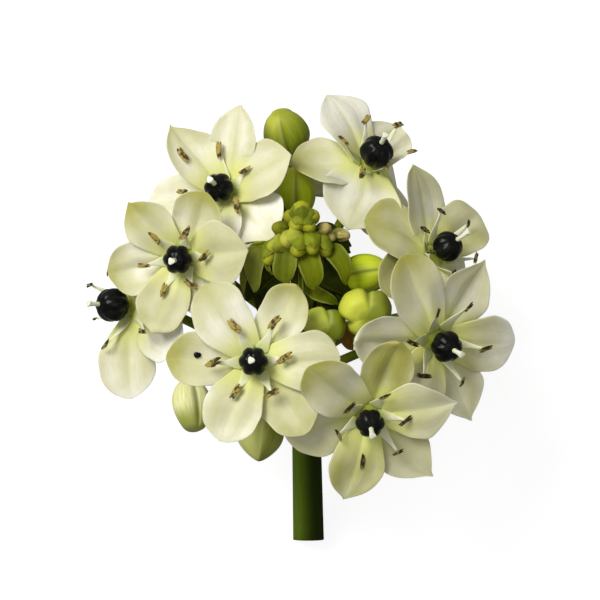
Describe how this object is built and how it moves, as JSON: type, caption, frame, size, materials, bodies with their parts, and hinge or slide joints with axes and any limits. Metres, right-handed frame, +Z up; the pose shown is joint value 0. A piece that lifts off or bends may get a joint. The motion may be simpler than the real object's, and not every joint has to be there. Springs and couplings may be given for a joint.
{
  "type": "cut flower head",
  "caption": "Rounded head of white starry flowers with glossy black ovaries and green buds on a short cut stem, lying on a surface.",
  "frame": {"origin": "on the surface that the flower lies on, under the middle of its bounding box", "axes": "+Z up from the surface; -Y along the stem towards its cut end; +X to the right in the view from above with the stem pointing down"},
  "size_m": [0.1126, 0.12, 0.0803],
  "materials": {
    "stem_green": "satin",
    "bud_green": "satin",
    "tepal_white": "soft matte",
    "ovary_black": "glossy",
    "style_cream": "soft matte"
  },
  "bodies": {
    "root": {"stem": "stem_green", "crown": "bud_green", "bud_top": "bud_green", "bud_upper": "bud_green", "bud_inner_right": "bud_green", "bud_right_knot": "bud_green", "bud_left_knot": "bud_green", "bud_lower_left": "bud_green", "bud_lower": "bud_green", "bloom_upper_left_perianth": "tepal_white", "bloom_upper_left_ovary": "ovary_black", "bloom_upper_left_style": "style_cream", "bloom_left_perianth": "tepal_white", "bloom_left_ovary": "ovary_black", "bloom_left_style": "style_cream", "bloom_front_perianth": "tepal_white", "bloom_front_ovary": "ovary_black", "bloom_front_style": "style_cream", "bloom_lower_right_perianth": "tepal_white", "bloom_lower_right_ovary": "ovary_black", "bloom_lower_right_style": "style_cream", "bloom_right_perianth": "tepal_white", "bloom_right_ovary": "ovary_black", "bloom_right_style": "style_cream", "bloom_upper_right_perianth": "tepal_white", "bloom_upper_right_ovary": "ovary_black", "bloom_upper_right_style": "style_cream", "bloom_top_perianth": "tepal_white", "bloom_top_ovary": "ovary_black", "bloom_top_style": "style_cream", "bloom_far_left_perianth": "tepal_white", "bloom_far_left_ovary": "ovary_black", "bloom_far_left_style": "style_cream", "bloom_under_left_perianth": "tepal_white", "bloom_under_left_ovary": "ovary_black", "bloom_under_left_style": "style_cream", "bloom_under_right_perianth": "tepal_white", "bloom_under_right_ovary": "ovary_black", "bloom_under_right_style": "style_cream", "bloom_under_top_perianth": "tepal_white", "bloom_under_top_ovary": "ovary_black", "bloom_under_top_style": "style_cream"}
  },
  "joints": []
}
